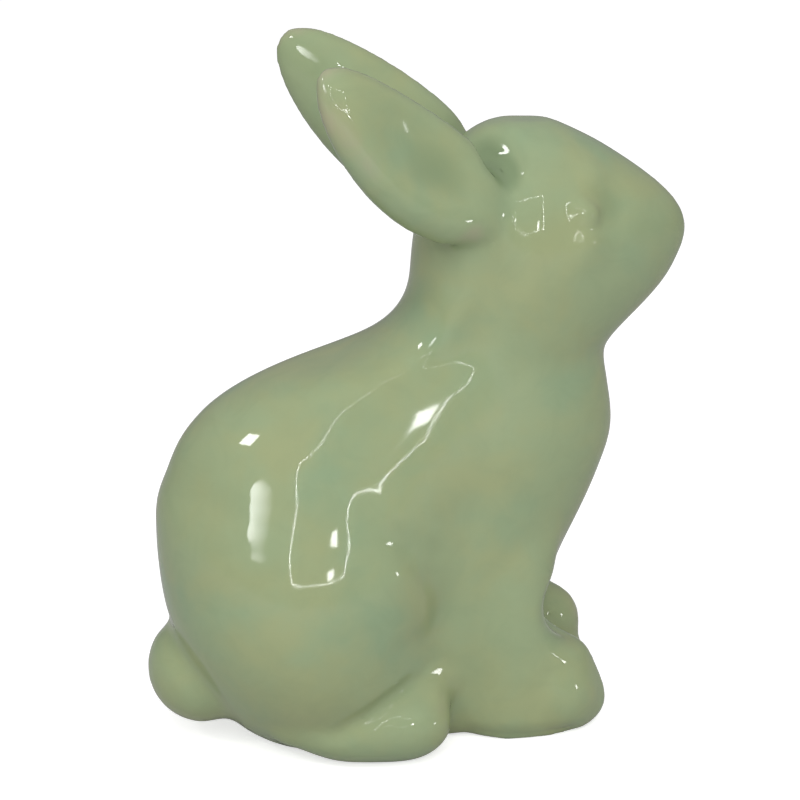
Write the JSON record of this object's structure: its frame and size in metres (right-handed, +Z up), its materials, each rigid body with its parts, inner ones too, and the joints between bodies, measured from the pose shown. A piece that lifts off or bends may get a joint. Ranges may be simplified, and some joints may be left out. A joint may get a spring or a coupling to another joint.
{
  "type": "rabbit figurine",
  "caption": "Seated ceramic rabbit with a raised head and laid-back dished ears, a hollow ornament in a glossy sage-green glaze.",
  "frame": {"origin": "middle of the footprint, on the surface that the rabbit sits on", "axes": "+X towards the nose, +Y towards the rabbit's left side, +Z up"},
  "size_m": [0.114, 0.06, 0.1472],
  "materials": {
    "sage_glaze": "glossy sage-green glaze that breaks thin to a warm beige on raised edges"
  },
  "bodies": {
    "root": {"body_casting": "sage_glaze", "head_casting": "sage_glaze", "ear_right": "sage_glaze", "ear_left": "sage_glaze", "foreleg_right": "sage_glaze", "foreleg_left": "sage_glaze", "hind_foot_right": "sage_glaze", "hind_foot_left": "sage_glaze", "tail": "sage_glaze"}
  },
  "joints": []
}
